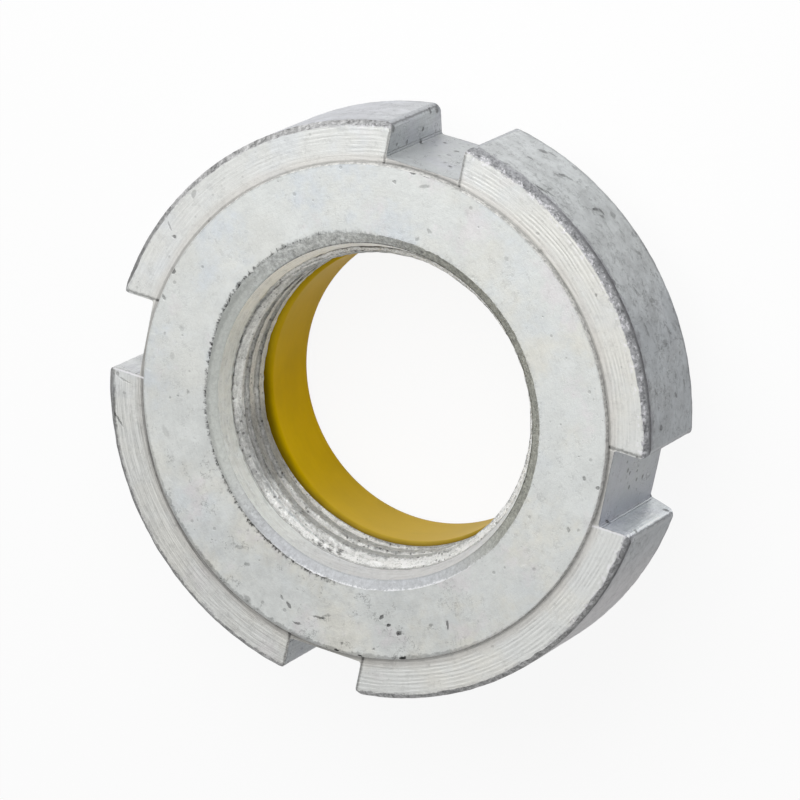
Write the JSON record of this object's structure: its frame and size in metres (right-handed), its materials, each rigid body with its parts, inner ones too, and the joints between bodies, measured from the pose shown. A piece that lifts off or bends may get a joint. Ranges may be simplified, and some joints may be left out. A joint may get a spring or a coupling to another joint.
{
  "type": "self-locking slotted round nut",
  "caption": "Round steel nut with spanner slots in its rim, a raised contact ring, a fine thread, and a yellow polyamide ring that locks it on the bolt.",
  "frame": {"origin": "on the thread's axis, in the plane of the rolled lip that the nut lies on", "axes": "+Z along the thread's axis, from the rolled lip to the contact face; a slot is centred on each of +X, +Y, -X and -Y"},
  "size_m": [0.0494, 0.0494, 0.0163],
  "materials": {
    "zinc_plated_steel": "turned and milled steel with clear zinc plating, satin, with small marks",
    "yellow_polyamide": "smooth translucent yellow polyamide"
  },
  "bodies": {
    "root": {"nut_body": "zinc_plated_steel", "locking_ring": "yellow_polyamide"}
  },
  "joints": []
}
